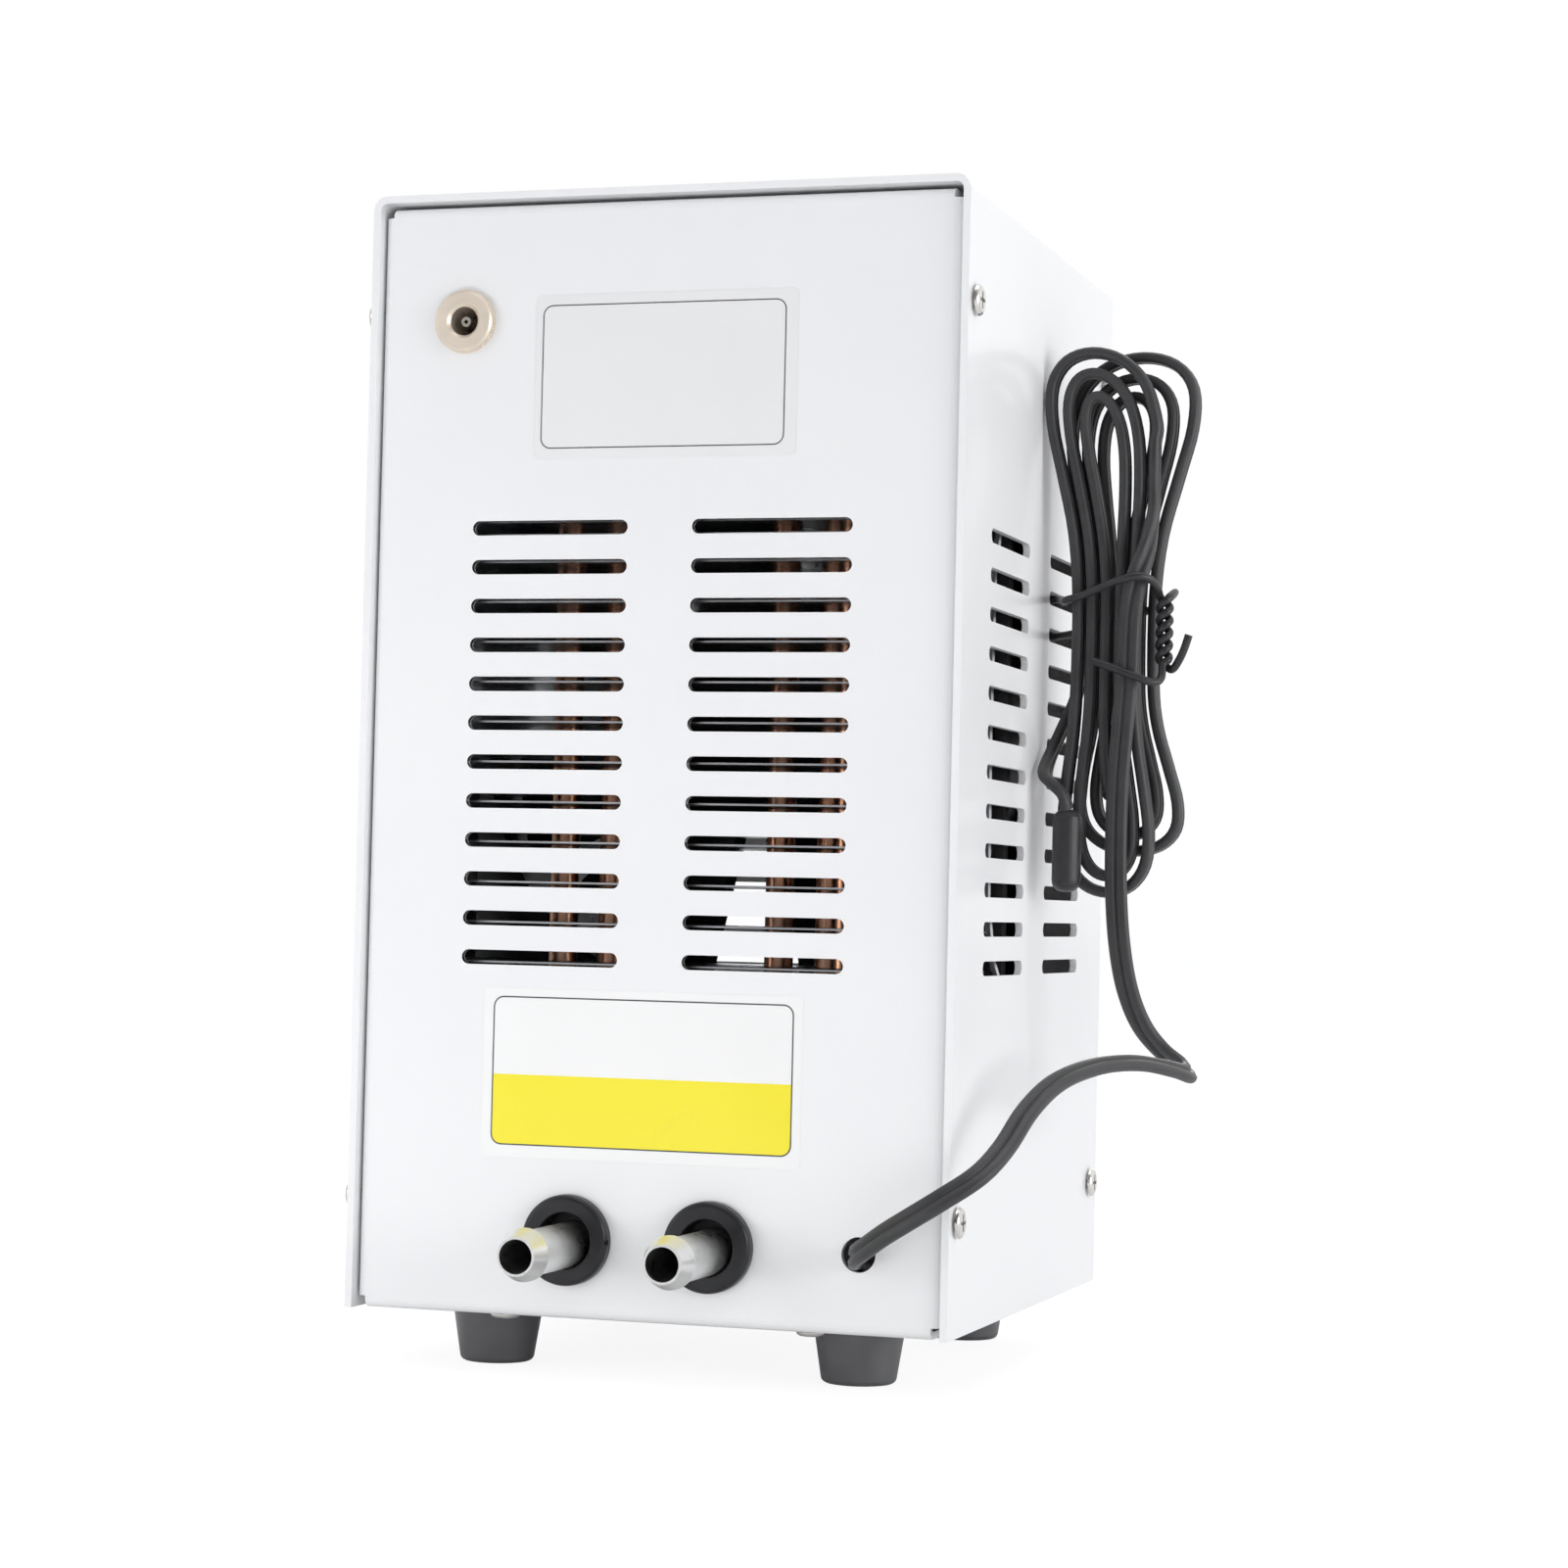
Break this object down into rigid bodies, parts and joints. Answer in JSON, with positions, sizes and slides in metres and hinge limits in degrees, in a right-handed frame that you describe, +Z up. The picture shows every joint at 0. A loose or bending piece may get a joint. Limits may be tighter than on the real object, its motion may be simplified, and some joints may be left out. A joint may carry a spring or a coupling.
{
  "type": "aquarium chiller",
  "caption": "Small thermoelectric aquarium chiller: vented white case on rubber feet with hose spigots, power socket, display and a temperature probe on a hanked cord.",
  "frame": {"origin": "on the floor under the middle of the case, taken with its spigots and display", "axes": "+Z up, -Y out of the connection panel with the water ports, +X to the right seen from that side"},
  "size_m": [0.1661, 0.1634, 0.242],
  "materials": {
    "case_paint": "gloss white powder coat",
    "nickel": "bright nickel plate",
    "steel": "zinc plated",
    "foot_rubber": "smooth black",
    "grommet_rubber": "satin black",
    "jack_plastic": "black",
    "brass": "bright",
    "alloy": "milled",
    "fin_alloy": "rolled sheet",
    "copper": "bare copper",
    "foam": "closed-cell foam",
    "foam_white": "closed-cell foam",
    "ceramic": "white ceramic",
    "fan_plastic": "black moulded",
    "bezel_plastic": "black moulded",
    "window_plastic": "dark tinted",
    "board": "green laminate",
    "terminal_plastic": "green moulded",
    "button_plastic": "light grey moulded",
    "lead_red": "red lead",
    "lead_dark": "dark lead",
    "cord": "satin black",
    "capsule": "satin black",
    "tie": "coated wire"
  },
  "bodies": {
    "chassis": {"base_tray": "case_paint", "cover": "case_paint", "cover_screws": "nickel", "rubber_feet": "foot_rubber", "foot_screws": "steel", "foot_nuts": "steel", "jack_shell": "nickel", "jack_insulator": "jack_plastic", "jack_pin": "brass", "jack_nut": "steel", "jack_tabs": "brass", "left_grommet": "grommet_rubber", "right_grommet": "grommet_rubber", "left_spigot": "steel", "right_spigot": "steel", "water_block": "alloy", "channel_plug": "brass", "block_pad": "foam", "module_gasket": "foam_white", "peltier_module": "ceramic", "heatsink_base": "alloy", "outer_heat_pipe": "copper", "inner_heat_pipe": "copper", "fin_stack": "fin_alloy", "clamp_bars": "steel", "clamp_screws": "steel", "clamp_nuts": "steel", "fan_frame": "fan_plastic", "fan_bearing": "brass", "fan_stator": "copper", "fan_clips": "steel", "display_bezel": "bezel_plastic", "display_window": "window_plastic", "display_housing": "bezel_plastic", "display_board": "board", "digit_module": "bezel_plastic", "key_switches": "jack_plastic", "housing_clips": "bezel_plastic", "terminal_block": "terminal_plastic", "jack_leads": "lead_red", "peltier_leads": "lead_red", "fan_lead": "lead_dark", "probe_lead": "cord", "probe_cord": "cord", "probe_hank": "cord", "probe_capsule": "capsule", "twist_tie": "tie"},
    "fan_spin": {"fan_rotor": "fan_plastic", "fan_shaft": "steel"},
    "set_key": {"set_button": "button_plastic"},
    "down_key": {"down_button": "button_plastic"},
    "up_key": {"up_button": "button_plastic"}
  },
  "joints": [
    {"name": "fan_turn", "type": "hinge", "parent": "chassis", "child": "fan_spin", "pos_m": [0, 0.012, 0.133], "axis": [0, 1, 0], "continuous": true},
    {"name": "set_press", "type": "slide", "parent": "chassis", "child": "set_key", "axis": [0, -1, 0], "range_m": [0, 0.0005], "stiffness_N_per_m": 300, "springref_m": -0.001},
    {"name": "down_press", "type": "slide", "parent": "chassis", "child": "down_key", "axis": [0, -1, 0], "range_m": [0, 0.0005], "stiffness_N_per_m": 300, "springref_m": -0.001},
    {"name": "up_press", "type": "slide", "parent": "chassis", "child": "up_key", "axis": [0, -1, 0], "range_m": [0, 0.0005], "stiffness_N_per_m": 300, "springref_m": -0.001}
  ]
}
